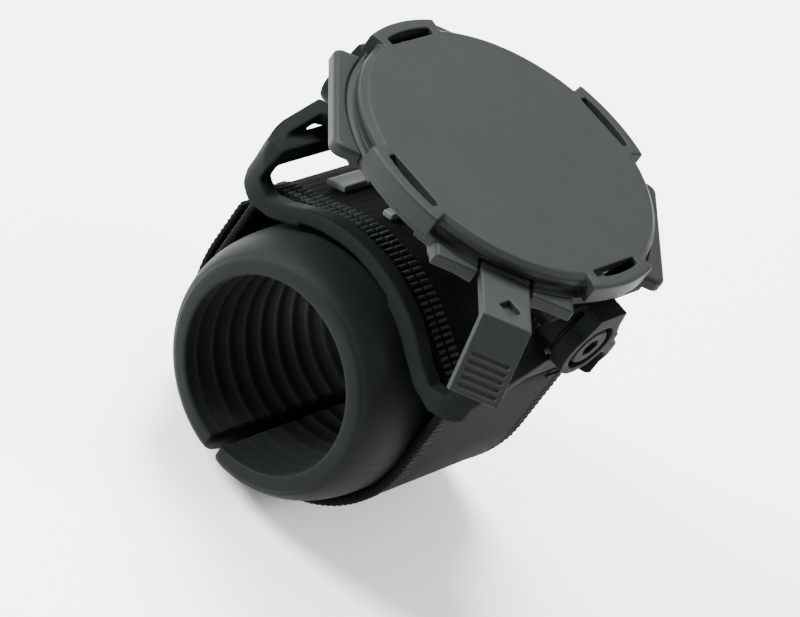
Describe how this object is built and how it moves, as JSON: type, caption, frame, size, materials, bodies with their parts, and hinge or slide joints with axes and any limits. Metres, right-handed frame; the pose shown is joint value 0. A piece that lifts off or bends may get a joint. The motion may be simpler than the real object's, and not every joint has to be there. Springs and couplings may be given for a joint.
{
  "type": "handlebar phone mount",
  "caption": "Strap-on handlebar phone mount: round bayonet seat with a release lever on a tilting head, saddle frame, webbing strap and rubber bar pad.",
  "frame": {"origin": "on the handlebar's axis, below the middle of the round seat", "axes": "+X along the handlebar, +Y forward away from the rider, +Z out of the seat towards the phone"},
  "size_m": [0.0623, 0.0638, 0.0685],
  "materials": {
    "rubber": "matte moulded rubber",
    "webbing": "ribbed woven webbing",
    "frame_plastic": "satin moulded plastic",
    "light_plastic": "satin moulded plastic",
    "head_plastic": "satin moulded plastic",
    "lever_plastic": "satin moulded plastic",
    "steel": "plain steel"
  },
  "bodies": {
    "base": {"bar_pad": "rubber", "strap_band": "webbing", "strap_tail": "webbing", "hook_patch": "webbing", "saddle_frame": "frame_plastic", "strap_keepers": "light_plastic", "pivot_bolt": "steel", "pivot_nut": "steel", "friction_washers": "steel", "hinge_tube": "frame_plastic"},
    "head": {"pivot_bushings": "steel", "tilt_yoke": "frame_plastic", "head_plate": "head_plastic", "bayonet_disc": "head_plastic", "disc_screws": "steel", "centre_screw": "steel", "lock_spring": "steel", "lever_pin": "steel", "lever_spring": "steel"},
    "lever": {"release_lever": "lever_plastic"},
    "lock": {"lock_ring": "steel"}
  },
  "joints": [
    {"name": "head_tilt", "type": "hinge", "parent": "base", "child": "head", "pos_m": [0, 0, 0.031], "axis": [0, 1, 0], "range_deg": [-15, 15]},
    {"name": "lever_press", "type": "hinge", "parent": "head", "child": "lever", "pos_m": [-0.01761, -0.01761, 0.0403], "axis": [0.7071, -0.7071, 0], "range_deg": [0, 6], "stiffness_Nm_per_rad": 1, "springref_deg": -2.86, "deforming": ["lever_spring"]},
    {"name": "lock_turn", "type": "hinge", "parent": "head", "child": "lock", "pos_m": [0, 0, 0.04175], "axis": [0, 0, 1], "range_deg": [0, 10], "deforming": ["lock_spring"]}
  ],
  "couplings": [
    {"joint": "lock_turn", "follows": "lever_press", "ratio": 1.6}
  ]
}
